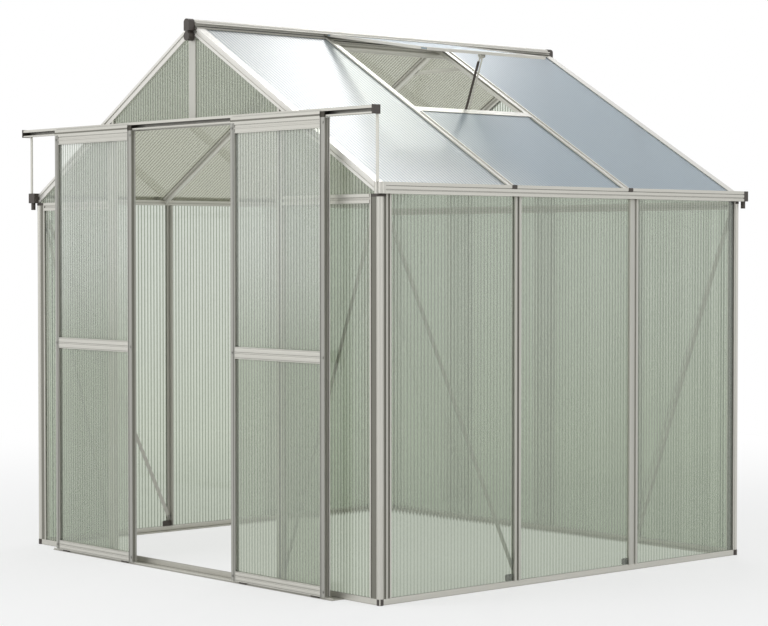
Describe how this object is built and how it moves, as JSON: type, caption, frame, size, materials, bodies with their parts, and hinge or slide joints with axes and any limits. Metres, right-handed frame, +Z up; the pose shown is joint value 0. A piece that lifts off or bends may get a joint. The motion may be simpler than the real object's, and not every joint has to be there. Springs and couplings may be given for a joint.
{
  "type": "greenhouse",
  "caption": "Small aluminium-framed garden greenhouse with ribbed twin-wall panels, sliding doors hung from a front rail, a hinged roof vent on a stay, and gutters along the eaves.",
  "frame": {"origin": "middle of the plan on the ground, at the centre of the four ground bolt holes", "axes": "+Z up, -Y out of the front gable with its doors, +X to the right seen from the front"},
  "size_m": [2.211, 2.002, 2.0958],
  "materials": {
    "aluminium": "mill finish, satin",
    "twin_wall": "clear ribbed twin-wall sheet",
    "black_plastic": "matte",
    "steel": "plated"
  },
  "bodies": {
    "frame": {"back_wall_mullions": "aluminium", "back_wall_panels": "twin_wall", "base_corner_plugs": "black_plastic", "base_end_rails": "aluminium", "base_side_rails": "aluminium", "brace_nuts": "steel", "collar_ties": "aluminium", "corner_posts": "aluminium", "door_floor_track": "aluminium", "door_header": "aluminium", "door_jambs": "aluminium", "door_rail": "aluminium", "eave_bars": "aluminium", "front_wall_panels": "twin_wall", "gable_mullions": "aluminium", "gable_rafters": "aluminium", "gutter_end_caps": "aluminium", "gutter_left": "aluminium", "gutter_outlets": "black_plastic", "gutter_right": "aluminium", "left_roof_panels": "twin_wall", "left_wall_panels": "twin_wall", "rail_brackets": "aluminium", "rail_end_caps": "black_plastic", "rail_struts": "aluminium", "ridge_bar": "aluminium", "ridge_end_caps": "black_plastic", "right_roof_panels": "twin_wall", "right_wall_panels": "twin_wall", "roof_rafters": "aluminium", "side_wall_mullions": "aluminium", "vent_sill": "aluminium", "wind_braces": "aluminium"},
    "door_left": {"left_door_bottom_bar": "aluminium", "left_door_guide_shoes": "black_plastic", "left_door_hangers": "steel", "left_door_mid_bar": "aluminium", "left_door_panels": "twin_wall", "left_door_screws": "steel", "left_door_stiles": "aluminium", "left_door_top_bar": "aluminium"},
    "door_right": {"right_door_bottom_bar": "aluminium", "right_door_guide_shoes": "black_plastic", "right_door_hangers": "steel", "right_door_mid_bar": "aluminium", "right_door_panels": "twin_wall", "right_door_screws": "steel", "right_door_stiles": "aluminium", "right_door_top_bar": "aluminium"},
    "vent": {"vent_hinge_bar": "aluminium", "vent_side_bars": "aluminium", "vent_bottom_bar": "aluminium", "vent_panel": "twin_wall", "stay_pin": "steel"},
    "stay": {"vent_stay": "aluminium"},
    "left_wheel_1": {"left_door_wheel_1": "black_plastic"},
    "left_wheel_2": {"left_door_wheel_2": "black_plastic"},
    "right_wheel_1": {"right_door_wheel_1": "black_plastic"},
    "right_wheel_2": {"right_door_wheel_2": "black_plastic"}
  },
  "joints": [
    {"name": "left_door_slide", "type": "slide", "parent": "frame", "child": "door_left", "axis": [-1, 0, 0], "range_m": [-0.3145, 0.23]},
    {"name": "right_door_slide", "type": "slide", "parent": "frame", "child": "door_right", "axis": [1, 0, 0], "range_m": [-0.3145, 0.23]},
    {"name": "vent_hinge", "type": "hinge", "parent": "frame", "child": "vent", "pos_m": [0.0206, 0, 2.07517], "axis": [0, -1, 0], "range_deg": [-21.6, 0]},
    {"name": "stay_hinge", "type": "hinge", "parent": "vent", "child": "stay", "pos_m": [0.58368, 0, 1.97383], "axis": [0, -1, 0], "range_deg": [0, 21.6]},
    {"name": "left_wheel_1_spin", "type": "hinge", "parent": "door_left", "child": "left_wheel_1", "pos_m": [-0.803, -0.993, 1.7003], "axis": [0, 1, 0], "continuous": true},
    {"name": "left_wheel_2_spin", "type": "hinge", "parent": "door_left", "child": "left_wheel_2", "pos_m": [-0.335, -0.993, 1.7003], "axis": [0, 1, 0], "continuous": true},
    {"name": "right_wheel_1_spin", "type": "hinge", "parent": "door_right", "child": "right_wheel_1", "pos_m": [0.359, -0.993, 1.7003], "axis": [0, 1, 0], "continuous": true},
    {"name": "right_wheel_2_spin", "type": "hinge", "parent": "door_right", "child": "right_wheel_2", "pos_m": [0.827, -0.993, 1.7003], "axis": [0, 1, 0], "continuous": true}
  ],
  "couplings": [
    {"joint": "stay_hinge", "follows": "vent_hinge", "ratio": -1},
    {"joint": "left_wheel_1_spin", "follows": "left_door_slide", "rad_per_m": -111.11},
    {"joint": "left_wheel_2_spin", "follows": "left_door_slide", "rad_per_m": -111.11},
    {"joint": "right_wheel_1_spin", "follows": "right_door_slide", "rad_per_m": 111.11},
    {"joint": "right_wheel_2_spin", "follows": "right_door_slide", "rad_per_m": 111.11}
  ]
}
